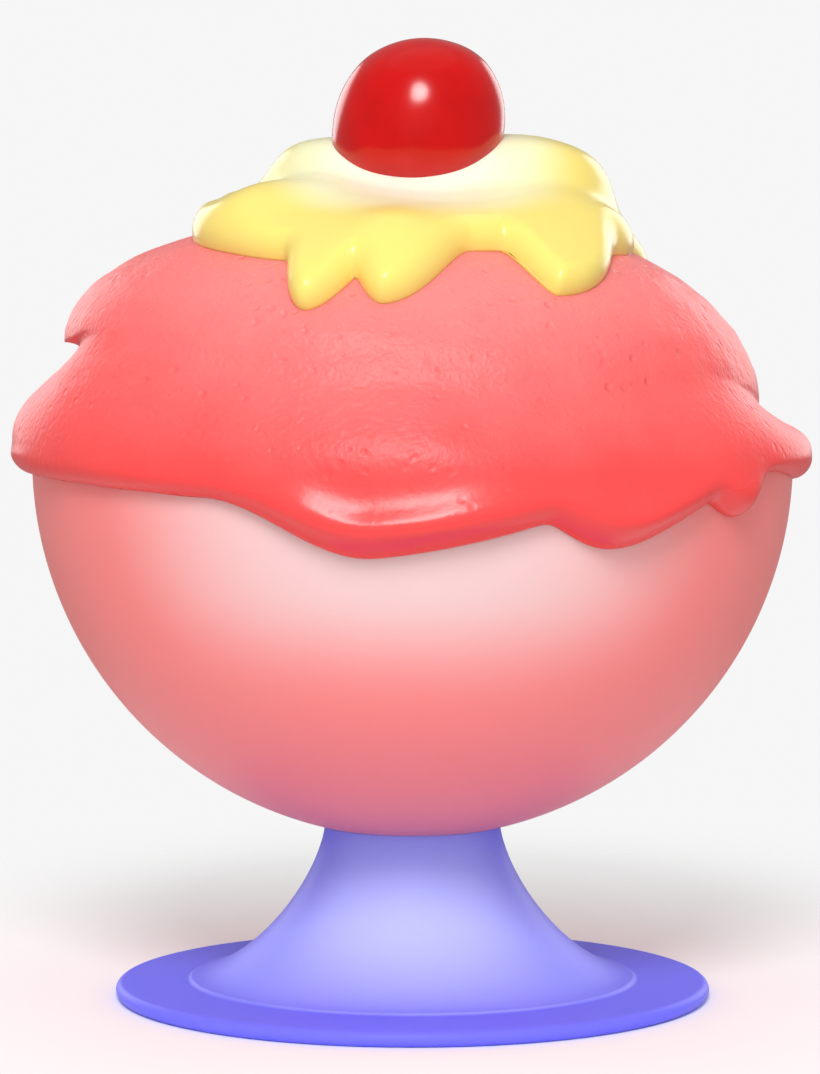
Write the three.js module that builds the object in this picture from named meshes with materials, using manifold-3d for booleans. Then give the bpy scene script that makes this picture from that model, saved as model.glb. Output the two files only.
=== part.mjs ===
// An ice cream sundae in a footed glass: a strawberry scoop that has melted over
// the rim of the bowl, pale vanilla sauce running down it, and a cherry on top.
//
// Millimetres, +Z up. The origin is the centre of the foot's flat underside.
// Azimuths are in degrees, from the front (-Y) towards the right (+X).

import * as THREE from "three";
import { mergeVertices } from "three/addons/utils/BufferGeometryUtils.js";
import Module from "manifold-3d";

const { clamp, degToRad, euclideanModulo, lerp, smoothstep } = THREE.MathUtils;

// ---- Driving dimensions ------------------------------------------------------

const gap = 0.3; // left between pieces that touch

// Glass: a round-bottomed bowl fused to a trumpet-shaped foot.
const bowlRadius = 54;
const bowlCentre = 77; // height of the ball's centre and of the rim's
const wall = 3;
const rimRound = wall / 2;
const footRadius = 42.5;
const footEdge = 2.2; // thickness of the foot's round edge
const stemRadius = 12.5;
const flareTop = 25;
const flareBase = 2.8;
const flareRadius = 31.9; // where the flare ends in a low step on the disc
const flareStep = 0.4;
const flarePower = 1.55; // 2 is a quarter ellipse, 1 a straight cone

// Ice cream: a dome and a skirt hanging outside the bowl. On the left, right and back
// the dome is folded over a crease; in front it has melted straight into the skirt.
const domeTop = 112.5;
const creaseDrop = 1.2;
const flowFrom = 0.86; // how far down the dome it starts to flow, where it has no fold
const skirtRound = 3.2; // width of the skirt's rounded hem
const beadWidth = 2.6; // the bead is what has run down into the hem
const beadUp = 4; // how far the bead lies above the hem
const beadFade = 4; // over which it grows, below the skirt's widest place
const fullSkirt = 10; // a skirt this long carries a whole bead
const roundFade = 2; // over which its edge grows round, below the same place
const fillGap = 0.5; // to the inside of the bowl, whose facets bulge inwards

// Sauce: an even apron on the dome, with a deep flat-topped dollop in the middle.
const apronInner = 4.6;
const apronOuter = 3.3;
const apronThins = [24, 38]; // radii between which the apron gets thinner
const dollopHeight = 5.6;
const dollopCentre = [3.6, 0.5];
const dollopSide = 22.4;
const dollopFront = 14;
const dollopBack = 18;
const dollopFrontPower = 5; // how steeply it ends in front
const dollopSidePower = 12;
const sauceRound = 0.85; // width of the rounded edge, in thicknesses

// Cherry: taller above its widest place than below, leaning to the right, with a
// shallow dimple where the stem was.
const cherryRadius = 12.05;
const cherryAbove = 12.7;
const cherryBelow = 9.6;
const cherryPower = 2.2; // 2 is an ellipse, more is squarer
const cherryLean = 1; // how far the top lies to the right of the centre
const cherryCentre = [0.8, -7, 123.4];
const dimpleDepth = 1.3;
const dimpleRadius = 3.4;
const dimpleBack = 5;

// Divisions round the axis, and places along the two ragged edges.
const aroundFood = 96;
const aroundBowl = 56;
const aroundFoot = 44;
const aroundCherry = 28;
const hemPlaces = 360;
const sauceRimPlaces = 240;

const weldWithin = 1e-4; // points closer than this are one
const tiny = 1e-6; // keeps a divisor above zero

// Divisions of the profiles.
const bowlSteps = 10;
const insideSteps = 8;
const rimSteps = 4;
const footEdgeSteps = 5;
const flareSteps = 9;
const seatSteps = 3;
const fillSteps = 6;
const cherrySteps = 14;

// ---- Curves round the axis ---------------------------------------------------

/** A smooth function of azimuth through [azimuth, value] pairs, closed round the circle. */
function around(pairs) {
  const count = pairs.length;
  const start = pairs[0][0];
  const next = (k) => (k + 1) % count;
  const width = pairs.map(([azimuth], k) => (k + 1 < count ? pairs[k + 1][0] : start + 360) - azimuth);
  const steep = pairs.map(([, value], k) => (pairs[next(k)][1] - value) / width[k]);
  const slope = pairs.map((pair, k) => (steep[k] + steep[(k + count - 1) % count]) / 2);
  return (azimuth) => {
    const turned = start + euclideanModulo(azimuth - start, 360);
    let k = 0;
    while (k + 1 < count && pairs[k + 1][0] <= turned) {
      k += 1;
    }
    const t = (turned - pairs[k][0]) / width[k];
    return hermite(t, pairs[k][1], slope[k] * width[k], pairs[next(k)][1], slope[next(k)] * width[k]);
  };
}

/** The cubic from a to b whose end slopes are given, at t from 0 to 1. */
function hermite(t, a, slopeA, b, slopeB) {
  const rest = 1 - t;
  return rest * rest * ((1 + 2 * t) * a + t * slopeA) + t * t * ((3 - 2 * t) * b - rest * slopeB);
}

/** How far the lowest drip hangs at an azimuth; a drip is [azimuth, drop, left width, right width]. */
function dripDepth(drips, azimuth) {
  const blend = 9; // higher leaves sharper valleys between drips
  let sum = 0;
  for (const [centre, drop, left, right] of drips) {
    const away = euclideanModulo(azimuth - centre + 180, 360) - 180;
    const share = Math.min(Math.abs(away) / (away < 0 ? left : right), 1);
    sum += Math.pow((drop * (1 + Math.cos(Math.PI * share))) / 2, blend);
  }
  return Math.pow(sum, 1 / blend);
}

/** A quarter round: 0 at the edge, 1 from one width inwards. */
function quarterRound(distance) {
  const inward = 1 - Math.min(distance, 1);
  return Math.sqrt(1 - inward * inward);
}

// The dome: 2 is an ellipse, more is squarer. Then its lower lip, how much of a fold
// it ends in, the crease under it, and the skirt below.
const domePower = around([[0, 2.1], [90, 2], [180, 2.1], [270, 2.08]]);
const lipRadius = around([[0, 49.8], [90, 49.3], [180, 49.8], [270, 49.4]]);
const lipHeight = around([
  [0, 85], [60, 84.6], [90, 84.6], [140, 88], [180, 90.5], [235, 92.8], [270, 93.6], [300, 92.6], [330, 88],
]);
const foldShare = around([
  [0, 0], [55, 0], [75, 0.5], [90, 0.9], [110, 1], [180, 1], [270, 1], [284, 0.9], [297, 0.35], [312, 0],
]);
const fold = (azimuth) => clamp(foldShare(azimuth), 0, 1);
const creaseDepth = around([
  [0, 0], [60, 0], [110, 0.3], [150, 1.8], [185, 2.2], [215, 1], [245, 2.2], [270, 4], [285, 1.7],
  [300, 0], [330, 0],
]);
const skirtLean = around([
  [0, 38], [60, 42], [90, 55], [130, 45], [180, 45], [235, 55], [270, 55], [300, 45], [330, 28],
]);
const skirtRadius = around([
  [0, 56.7], [40, 56.7], [90, 56.6], [150, 56.8], [200, 56.9], [270, 56.8], [320, 56.7],
]);
const beadHeight = around([
  [0, 2.4], [30, 2.3], [60, 1.5], [90, 0.9], [140, 1.3], [190, 1.9], [230, 1.3], [270, 0.9], [300, 1.4],
  [330, 2.1],
]);
const skirtTop = around([[0, 78], [90, 78.2], [180, 79], [270, 80.2]]);

const hemBase = around([
  [0, 75.7], [66, 76.1], [90, 74.1], [150, 74.8], [210, 75], [270, 75], [288, 75.4], [312, 74.8],
  [330, 73.9],
]);
const skirtDrips = [
  [354.8, 8.9, 26, 56],
  [29.2, 9.1, 21.5, 31],
  [53.7, 5.8, 16, 9],
  [124, 5.6, 15, 16],
  [183, 7.8, 26, 21],
  [236, 2.8, 16, 12],
];
const hemHeight = (azimuth) => hemBase(azimuth) - dripDepth(skirtDrips, azimuth);

const sauceBase = around([
  [0, 106.2], [15, 106.3], [60, 105.8], [90, 106.2], [180, 105.6], [240, 108.2], [270, 109.3], [315, 106.1],
  [335, 105],
]);
const sauceDrips = [
  [341.8, 6.6, 10, 12.8],
  [355, 6.6, 10.5, 19.5],
  [27.8, 5.8, 6.6, 33],
  [126, 4.4, 22, 20],
  [182, 6, 22, 17],
  [228, 4, 20, 20],
];
const sauceHeight = (azimuth) => sauceBase(azimuth) - dripDepth(sauceDrips, azimuth);

// The dent in front of the cherry, and low bulges and hollows: [x, y, radius, height].
const cherryDent = [1, -18, 11, -1.3];
const sauceBulges = [
  [-3, -34, 5.5, 1.9],
  [-22, -21, 5.5, 1.5],
  [-14, -16, 7, 1.2],
  [20, -14, 9, 1.2],
  [17, 1, 9, 1.2],
  [33, -2, 7, -2.5],
  [-23, -6, 5, -1.2],
  [14, 18, 8, 1],
  [-12, 20, 9, 0.8],
];

// ---- Meshes ------------------------------------------------------------------

function place(radius, azimuth, height) {
  const turn = degToRad(azimuth);
  return new THREE.Vector3(radius * Math.sin(turn), -radius * Math.cos(turn), height);
}

/**
 * Closes meridians into a solid. Each runs from the same first point to the same last one.
 * A four-sided face is split along its shorter diagonal, so that two surfaces that lie
 * against each other are split alike.
 */
function loft(meridians) {
  const rows = meridians[0].length;
  const positions = [meridians[0][0], meridians[0][rows - 1]];
  const at = (i, j) => {
    if (j === 0) return 0;
    if (j === rows - 1) return 1;
    return 2 + (i % meridians.length) * (rows - 2) + (j - 1);
  };
  for (const meridian of meridians) {
    positions.push(...meridian.slice(1, rows - 1));
  }
  const apart = (a, b) => positions[a].distanceTo(positions[b]);
  const index = [];
  for (let i = 0; i < meridians.length; i += 1) {
    for (let j = 0; j + 1 < rows; j += 1) {
      const [a, b, c, d] = [at(i, j), at(i, j + 1), at(i + 1, j + 1), at(i + 1, j)];
      if (j === 0) index.push(a, b, c);
      else if (j === rows - 2) index.push(a, b, d);
      else if (apart(a, c) < apart(b, d)) index.push(a, b, c, a, c, d);
      else index.push(a, b, d, b, c, d);
    }
  }
  const geometry = new THREE.BufferGeometry().setFromPoints(positions);
  geometry.setIndex(index);
  return geometry;
}

/** A turned solid from a profile of Vector2 (radius, height) that starts and ends on the axis. */
function turned(profile, divisions) {
  return new THREE.LatheGeometry(profile, divisions).rotateX(Math.PI / 2);
}

/** Points of an arc round (radius, height), angles in degrees from outwards to up. */
function arc(centreRadius, centreHeight, radius, from, to, steps) {
  const points = [];
  for (let k = 0; k <= steps; k += 1) {
    const angle = degToRad(lerp(from, to, k / steps));
    const across = centreRadius + radius * Math.cos(angle);
    points.push(new THREE.Vector2(Math.max(across, 0), centreHeight + radius * Math.sin(angle)));
  }
  return points;
}

function azimuths(count) {
  return Array.from({ length: count }, (unused, k) => (360 * k) / count);
}

// ---- Glass -------------------------------------------------------------------

function bowl() {
  const rimMiddle = bowlRadius - rimRound;
  return turned([
    ...arc(0, bowlCentre, bowlRadius, -90, 0, bowlSteps),
    ...arc(rimMiddle, bowlCentre, rimRound, 0, 180, rimSteps).slice(1),
    ...arc(0, bowlCentre, bowlRadius - wall, 0, -90, insideSteps).slice(1),
  ], aroundBowl);
}

function foot() {
  const edgeRound = footEdge / 2;
  const seat = bowlRadius + gap;
  const seatAngle = (Math.acos(stemRadius / seat) * 180) / Math.PI;
  const seatHeight = bowlCentre - Math.sqrt(seat * seat - stemRadius * stemRadius);
  const flare = [];
  for (let k = 0; k <= flareSteps; k += 1) {
    const turn = (Math.PI / 2) * (1 - k / flareSteps);
    const inward = Math.pow(Math.cos(turn), 2 / flarePower);
    const down = Math.pow(Math.sin(turn), 2 / flarePower);
    const height = Math.min(lerp(flareTop, flareBase, down), seatHeight);
    flare.push(new THREE.Vector2(lerp(flareRadius, stemRadius, inward), height));
  }
  return turned([
    new THREE.Vector2(0, 0),
    ...arc(footRadius - edgeRound, edgeRound, edgeRound, -90, 90, footEdgeSteps),
    new THREE.Vector2(flareRadius + flareStep, flareBase - flareStep),
    ...flare,
    ...arc(0, bowlCentre, seat, -seatAngle, -90, seatSteps).slice(1),
  ], aroundFoot);
}

// ---- Ice cream ---------------------------------------------------------------

/** A point of the dome: along is 0 at the top and 1 at the lip. */
function domePoint(azimuth, along) {
  const turn = (along * Math.PI) / 2;
  const across = Math.pow(Math.sin(turn), 2 / domePower(azimuth));
  const up = Math.pow(Math.cos(turn), 2 / domePower(azimuth));
  return [lipRadius(azimuth) * across, lerp(lipHeight(azimuth), domeTop, up)];
}

/** The dome's direction down its side, as a [radius, height] of unit length. */
function domeSlope(azimuth, along) {
  const turn = (along * Math.PI) / 2;
  const power = 2 / domePower(azimuth);
  const cosine = Math.max(Math.cos(turn), tiny);
  const outward = lipRadius(azimuth) * Math.pow(Math.sin(turn), power - 1) * cosine;
  const down = (domeTop - lipHeight(azimuth)) * Math.pow(cosine, power - 1) * Math.sin(turn);
  const length = Math.hypot(outward, down);
  return [outward / length, -down / length];
}

/** Where on the dome it ends, in a fold or flowing on. */
function domeEnd(azimuth) {
  return lerp(flowFrom, 1, fold(azimuth));
}

/** Where on the dome the sauce's edge runs, as domePoint's along. */
function sauceEdge(azimuth) {
  const up = (sauceHeight(azimuth) - lipHeight(azimuth)) / (domeTop - lipHeight(azimuth));
  return (2 * Math.acos(Math.pow(up, domePower(azimuth) / 2))) / Math.PI;
}

/** The bowl's outside at a height, with the gap that the ice cream keeps to it. */
function bowlSkin(height) {
  const below = Math.min(height - bowlCentre, 0);
  return Math.sqrt((bowlRadius + gap) ** 2 - below * below);
}

const hem = azimuths(hemPlaces).map((azimuth) => [azimuth, hemHeight(azimuth)]);

/** Distance from the skirt's hem, measured on the bowl's wall. */
function fromHem(azimuth, height) {
  let nearest = Infinity;
  for (const [hemAzimuth, hemAt] of hem) {
    const turn = euclideanModulo(azimuth - hemAzimuth + 180, 360) - 180;
    nearest = Math.min(nearest, Math.hypot(degToRad(turn) * bowlRadius, height - hemAt));
  }
  return nearest;
}

/** A point of the skirt outside the bowl: along is 0 at its widest and 1 at the hem. */
function skirtPoint(azimuth, along) {
  const top = skirtTop(azimuth);
  const bottom = hemHeight(azimuth);
  const height = lerp(top, bottom, along);
  const body = skirtRadius(azimuth) - bowlSkin(top);
  if (along === 1) return [bowlSkin(height), height];
  const up = fromHem(azimuth, height);
  const fullness = clamp((top - bottom) / fullSkirt, 0, 1) * smoothstep(top - height, 0, beadFade);
  const bead = beadHeight(azimuth) * fullness * Math.exp(-(((up - beadUp) / beadWidth) ** 2));
  const rounding = lerp(1, quarterRound(up / skirtRound), smoothstep(top - height, 0, roundFade));
  return [bowlSkin(height) + (body + bead) * rounding, height];
}

/** The crease rolls in under the dome's lip; without a fold the dome just runs on. */
function creasePoint(azimuth, along) {
  const turn = (along * Math.PI) / 2;
  const [radius, height] = domePoint(azimuth, domeEnd(azimuth));
  const [outward, down] = domeSlope(azimuth, domeEnd(azimuth));
  const share = fold(azimuth);
  return [
    radius + lerp(creaseDrop * along * outward, -creaseDepth(azimuth) * Math.sin(turn), share),
    height + lerp(creaseDrop * along * down, -creaseDrop * (1 - Math.cos(turn)), share),
  ];
}

/** A point between the crease and the skirt's widest place: along runs from 0 to 1. */
function shoulderPoint(azimuth, along) {
  const from = creasePoint(azimuth, 1);
  const to = [skirtRadius(azimuth), skirtTop(azimuth)];
  const reach = Math.hypot(to[0] - from[0], to[1] - from[1]);
  const lean = degToRad(skirtLean(azimuth));
  const [outward, down] = domeSlope(azimuth, domeEnd(azimuth));
  const start = [lerp(outward, Math.sin(lean), fold(azimuth)), lerp(down, -Math.cos(lean), fold(azimuth))];
  return [
    hermite(along, from[0], reach * start[0], to[0], 0),
    hermite(along, from[1], reach * start[1], to[1], -reach),
  ];
}

const underSauce = [0, 0.35, 0.6, 0.8, 1];
const domeBelowSauce = [0.3, 0.58, 0.82, 1];
const creaseSteps = [0.5, 1];
const shoulderSteps = [0.25, 0.5, 0.75, 1];
const skirtSteps = [0.25, 0.48, 0.68, 0.84, 0.95, 1];

/** The side that touches the bowl: up its outside, over the rim and down inside to the bottom. */
function contact(azimuth) {
  const hemAt = hemHeight(azimuth);
  const half = lerp(hemAt, bowlCentre, 0.5);
  const rimMiddle = bowlRadius - rimRound;
  const fill = bowlRadius - wall - fillGap;
  return [
    [bowlSkin(half), half],
    ...arc(rimMiddle, bowlCentre, rimRound + gap, 0, 180, rimSteps).slice(0, -1).map(({ x, y }) => [x, y]),
    ...arc(0, bowlCentre, fill, 0, -90, fillSteps).map(({ x, y }) => [x, y]),
  ];
}

function iceCreamMeridian(azimuth) {
  const edge = sauceEdge(azimuth);
  return [
    ...underSauce.map((along) => domePoint(azimuth, along * edge)),
    ...domeBelowSauce.map((along) => domePoint(azimuth, lerp(edge, domeEnd(azimuth), along))),
    ...creaseSteps.map((along) => creasePoint(azimuth, along)),
    ...shoulderSteps.map((along) => shoulderPoint(azimuth, along)),
    ...skirtSteps.map((along) => skirtPoint(azimuth, along)),
    ...contact(azimuth),
  ].map(([radius, height]) => place(radius, azimuth, height));
}

// ---- Sauce -------------------------------------------------------------------

/** A point raised from the dome by a thickness along the dome's own normal. */
function raised(azimuth, along, thickness) {
  const [radius, height] = domePoint(azimuth, along);
  const rise = domeTop - lipHeight(azimuth);
  const power = domePower(azimuth) - 1;
  const across = Math.pow(radius / lipRadius(azimuth), power) / lipRadius(azimuth);
  const up = Math.pow((height - lipHeight(azimuth)) / rise, power) / rise;
  const length = Math.hypot(across, up);
  return place(radius + (thickness * across) / length, azimuth, height + (thickness * up) / length);
}

const sauceRim = azimuths(sauceRimPlaces).map((azimuth) => raised(azimuth, sauceEdge(azimuth), gap));

/** The sauce's depth far from its edge, at a place of the dome. */
function sauceBody(x, y) {
  const [middleX, middleY] = dollopCentre;
  const [inner, outer] = apronThins;
  const away = y - middleY;
  const aside = (x - middleX) / dollopSide;
  const reach = Math.max(Math.hypot(aside, away / (away < 0 ? dollopFront : dollopBack)), tiny);
  const power = lerp(dollopFrontPower, dollopSidePower, (aside / reach) ** 2);
  let depth = lerp(apronInner, apronOuter, smoothstep(Math.hypot(x, y), inner, outer));
  depth += dollopHeight * Math.exp(-Math.LN2 * Math.pow(reach, power));
  for (const [bulgeX, bulgeY, radius, height] of [cherryDent, ...sauceBulges]) {
    depth += height * Math.exp(-(((x - bulgeX) ** 2 + (y - bulgeY) ** 2) / radius ** 2));
  }
  return depth;
}

function sauceThickness(azimuth, along) {
  const point = raised(azimuth, along, gap);
  const toEdge = Math.min(...sauceRim.map((rim) => rim.distanceTo(point)));
  const body = sauceBody(point.x, point.y);
  return body * quarterRound(toEdge / (body * sauceRound));
}

const sauceTopSteps = [0, 0.22, 0.38, 0.52, 0.64, 0.74, 0.83, 0.9, 0.96];

function sauceMeridian(azimuth) {
  const edge = sauceEdge(azimuth);
  const top = sauceTopSteps.map((step) => {
    const along = step * edge;
    return raised(azimuth, along, gap + sauceThickness(azimuth, along));
  });
  const under = underSauce.map((along) => raised(azimuth, along * edge, gap));
  return [...top, ...under.reverse()];
}

// ---- Cherry ------------------------------------------------------------------

/** The cherry, larger all round by the given allowance. */
function cherryShape(allowance) {
  const meridians = azimuths(aroundCherry).map((azimuth) => {
    const meridian = [];
    for (let k = 0; k <= cherrySteps; k += 1) {
      const turn = (Math.PI * k) / cherrySteps;
      const across = Math.pow(Math.max(Math.sin(turn), 0), 2 / cherryPower);
      const up = Math.sign(Math.cos(turn)) * Math.pow(Math.abs(Math.cos(turn)), 2 / cherryPower);
      const half = turn < Math.PI / 2 ? cherryAbove : cherryBelow;
      const point = place((cherryRadius + allowance) * across, azimuth, (half + allowance) * up);
      const fromDimple = Math.hypot(point.x, point.y - dimpleBack);
      point.x += (cherryLean * point.z) / cherryAbove;
      if (point.z > 0) point.z -= dimpleDepth * Math.exp(-((fromDimple / dimpleRadius) ** 2));
      meridian.push(point);
    }
    return meridian;
  });
  return loft(meridians).translate(...cherryCentre);
}

// ---- Solids ------------------------------------------------------------------

const wasm = await Module();
wasm.setup();

function toSolid(geometry) {
  const welded = mergeVertices(geometry, weldWithin);
  return new wasm.Manifold(new wasm.Mesh({
    numProp: 3,
    vertProperties: new Float32Array(welded.attributes.position.array),
    triVerts: new Uint32Array(welded.index.array),
  }));
}

function toGeometry(solid) {
  const { vertProperties, triVerts } = solid.getMesh();
  const geometry = new THREE.BufferGeometry();
  geometry.setAttribute("position", new THREE.BufferAttribute(new Float32Array(vertProperties), 3));
  geometry.setIndex(new THREE.BufferAttribute(new Uint32Array(triVerts), 1));
  return geometry;
}

/** The sauce with the hollow that the cherry has pressed into it. */
function sauce() {
  const poured = toSolid(loft(azimuths(aroundFood).map(sauceMeridian)));
  return toGeometry(poured.subtract(toSolid(cherryShape(gap))));
}

function piece(name, geometry, color, roughness) {
  const mesh = new THREE.Mesh(geometry, new THREE.MeshStandardMaterial({ color, roughness, metalness: 0 }));
  mesh.name = name;
  return mesh;
}

const sundae = new THREE.Group();
sundae.add(
  piece("glass_foot", foot(), 0x8a8aff, 0.4),
  piece("glass_bowl", bowl(), 0xee8585, 0.4),
  piece("ice_cream", loft(azimuths(aroundFood).map(iceCreamMeridian)), 0xff6b6b, 0.35),
  piece("vanilla_sauce", sauce(), 0xfcec80, 0.25),
  piece("cherry", cherryShape(0), 0xcc0000, 0.2),
);

export default sundae;
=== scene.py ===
"""An ice cream sundae: a strawberry scoop that has melted over the rim of a footed
opal glass, with vanilla sauce and a cherry.

Shapes are worked out in millimetres, +Z up, from the centre of the foot's flat
underside. Azimuths are in degrees, from the front (-Y) towards the right (+X).
"""

import math

import bpy
import numpy as np
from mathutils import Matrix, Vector, kdtree, noise


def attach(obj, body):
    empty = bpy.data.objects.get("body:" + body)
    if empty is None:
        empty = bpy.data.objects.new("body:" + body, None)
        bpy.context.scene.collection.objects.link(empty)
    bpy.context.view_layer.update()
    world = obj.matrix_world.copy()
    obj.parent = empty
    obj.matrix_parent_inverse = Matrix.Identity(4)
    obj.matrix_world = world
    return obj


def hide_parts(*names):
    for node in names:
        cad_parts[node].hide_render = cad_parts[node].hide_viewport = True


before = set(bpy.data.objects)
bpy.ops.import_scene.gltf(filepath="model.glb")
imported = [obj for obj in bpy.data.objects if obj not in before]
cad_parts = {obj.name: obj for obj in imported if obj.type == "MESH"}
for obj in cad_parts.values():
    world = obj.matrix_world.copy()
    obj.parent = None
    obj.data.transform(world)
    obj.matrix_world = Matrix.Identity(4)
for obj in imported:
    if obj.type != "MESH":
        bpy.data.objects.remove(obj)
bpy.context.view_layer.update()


MM = 0.001
BODY = "root"
TINY = 1e-6  # keeps a division away from zero

# ---- Sizes in millimetres ------------------------------------------------------

SINK = 0.1  # how far a piece sinks into the one that carries it, so that no gap shows
CLEAR = 0.3  # the gap that the frame's own solids keep

BOWL_RADIUS = 54.0
BOWL_CENTRE = 77.0
WALL = 3.0
RIM_ROUND = WALL / 2
FOOT_RADIUS = 42.5
FOOT_EDGE = 2.2
STEM_RADIUS = 12.5
FLARE_TOP = 25.0
FLARE_BASE = 2.8
FLARE_RADIUS = 31.9
FLARE_STEP = 0.4
STEP_WIDTH = 1.0
FLARE_POWER = 1.55  # 2 is an ellipse, less is a straighter flare

DOME_TOP = 112.5
CREASE_DROP = 1.2
FLOW_FROM = 0.86  # how far down the dome the ice cream starts to flow where it has no fold
SKIRT_ROUND = 3.2  # the width of the rounding at the hem
ROUND_FADE = 2.0  # the length, below the skirt's widest place, in which it comes in
BEAD_WIDTH = 2.6  # the swelling where the melt gathers above the hem
BEAD_UP = 4.0
BEAD_FADE = 4.0
FULL_SKIRT = 10.0  # a skirt as long as this has the whole bead
DRIP_BLEND = 9  # more makes a sharper notch between two drips

MELT_HEIGHTS = (70.0, 76.0)  # the melted side is rounded off above and outside these
MELT_RADII = (50.0, 52.0)
MELT_PASSES = 60
MELT_ROWS = 140  # rows of the ice cream's skin, from the top, that the rounding may move

APRON_INNER = 4.6  # the sauce's depth in the middle and further out
APRON_OUTER = 3.3
APRON_THINS = (24.0, 38.0)
DOLLOP_HEIGHT = 5.6
DOLLOP_CENTRE = (3.6, 0.5)
DOLLOP_SIDE = 22.4
DOLLOP_FRONT = 14.0
DOLLOP_BACK = 18.0
DOLLOP_FRONT_POWER = 5.0  # how steeply it ends in front
DOLLOP_SIDE_POWER = 12.0
SAUCE_ROUND = 0.85  # the rounding at its edge, as a share of its depth

CHERRY_RADIUS = 12.05
CHERRY_ABOVE = 12.7
CHERRY_BELOW = 9.6
CHERRY_POWER = 2.2  # 2 is an ellipse, more is squarer
CHERRY_LEAN = 1.0
CHERRY_CENTRE = (0.8, -7.0, 123.4)
DIMPLE_DEPTH = 1.3
DIMPLE_RADIUS = 3.4
DIMPLE_BACK = 5.0

# Low relief, as the size of its marks and their height.
LUMP_SIZE, LUMP_HEIGHT = 13.0, 0.35
DRAG_WIDTH, DRAG_STEP, DRAG_HEIGHT = 9.0, 2.4, 0.22  # a scoop drags level streaks
CRUMB_SIZE, CRUMB_HEIGHT = 2.2, 0.1
WAVE_SIZE, WAVE_HEIGHT = 11.0, 0.25  # the sauce
SKIN_SIZE, SKIN_HEIGHT = 6.0, 0.15  # the cherry
FIRM_FROM = (83.0, 93.0)  # heights between which the scoop's marks come in
RELIEF_FADE = 4.0  # the length in which the relief dies out below the sauce's edge
RIM_BAND = 79.0  # below this height only the skin outside the rim has relief
RIM_RADII = (50.0, 54.0)

# How finely the pieces are made: meridians all round, and rows down each stretch.
SKIN_MERIDIANS = 480
GLASS_MERIDIANS = 240
CHERRY_MERIDIANS = 160
DOME_ROWS = 66
CREASE_ROWS = 9
SHOULDER_ROWS = 30
SKIRT_ROWS = 50
CONTACT_ROWS = 31
SAUCE_ROWS = 110
UNDERSIDE_ROWS = 20
CHERRY_ROWS = 101
FLARE_ROWS = 80
SKIRT_CROWDING = 1.7  # 1 spaces the rows evenly, more crowds them towards the edge
SAUCE_CROWDING = 1.6
EDGE_STEP = 0.05  # degrees between the points that stand for an edge
EDGE_OVERLAP = 90  # degrees by which an edge that is rolled out goes past a full turn


# ---- Curves ----------------------------------------------------------------------

def hermite(t, a, slope_a, b, slope_b):
    """A smooth way from a to b as t goes from 0 to 1, with a slope at either end."""
    rest = 1 - t
    leaving = rest * rest * ((1 + 2 * t) * a + t * slope_a)
    return leaving + t * t * ((3 - 2 * t) * b - rest * slope_b)


def smooth(value, low, high):
    t = np.clip((value - low) / (high - low), 0, 1)
    return t * t * (3 - 2 * t)


def lerp(a, b, t):
    return a + (b - a) * t


def crowded(count, power):
    """Shares from 0 to 1 that lie closer together towards 1."""
    return 1 - (1 - np.linspace(0, 1, count)) ** power


def turned_by(azimuth, centre):
    """How far an azimuth lies to the right of a centre, from -180 to 180 degrees."""
    return np.mod(azimuth - centre + 180, 360) - 180


def around(*pairs):
    """A smooth function of azimuth through (azimuth, value) pairs, closed round the circle."""
    angles, values = np.array(pairs, float).T
    widths = np.diff(np.append(angles, angles[0] + 360))
    steeps = (np.roll(values, -1) - values) / widths
    slopes = (steeps + np.roll(steeps, 1)) / 2

    def at(azimuth):
        turned = angles[0] + np.mod(np.asarray(azimuth, float) - angles[0], 360)
        k = np.clip(np.searchsorted(angles, turned, side="right") - 1, 0, len(angles) - 1)
        after = (k + 1) % len(angles)
        t = (turned - angles[k]) / widths[k]
        leave, arrive = slopes[k] * widths[k], slopes[after] * widths[k]
        return hermite(t, values[k], leave, values[after], arrive)

    return at


def drip_depth(drips, azimuth):
    """How far the lowest drip hangs; a drip is (azimuth, drop, left width, right width)."""
    total = 0
    for centre, drop, left, right in drips:
        away = turned_by(azimuth, centre)
        share = np.minimum(np.abs(away) / np.where(away < 0, left, right), 1)
        total = total + (drop * (1 + np.cos(np.pi * share)) / 2) ** DRIP_BLEND
    return total ** (1 / DRIP_BLEND)


def quarter_round(distance):
    """0 at an edge, 1 from one width inwards."""
    inward = 1 - np.clip(distance, 0, 1)
    return np.sqrt(1 - inward * inward)


# The dome, down to its lip. A power of 2 makes its side an ellipse, more is squarer.
lip_radius = around((0, 49.8), (90, 49.3), (180, 49.8), (270, 49.4))
lip_height = around(
    (0, 85), (60, 84.6), (90, 84.6), (140, 88), (180, 90.5), (235, 92.8), (270, 93.6),
    (300, 92.6), (330, 88),
)
dome_power = around((0, 2.1), (90, 2), (180, 2.1), (270, 2.08))

# The fold under the dome: its share is 0 where the dome flows straight into the skirt.
fold_share = around(
    (0, 0), (55, 0), (75, 0.5), (90, 0.9), (110, 1), (180, 1), (270, 1), (284, 0.9),
    (297, 0.35), (312, 0),
)
crease_depth = around(
    (0, 0), (60, 0), (110, 0.3), (150, 1.8), (185, 2.2), (215, 1), (245, 2.2), (270, 4),
    (285, 1.7), (300, 0), (330, 0),
)

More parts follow.
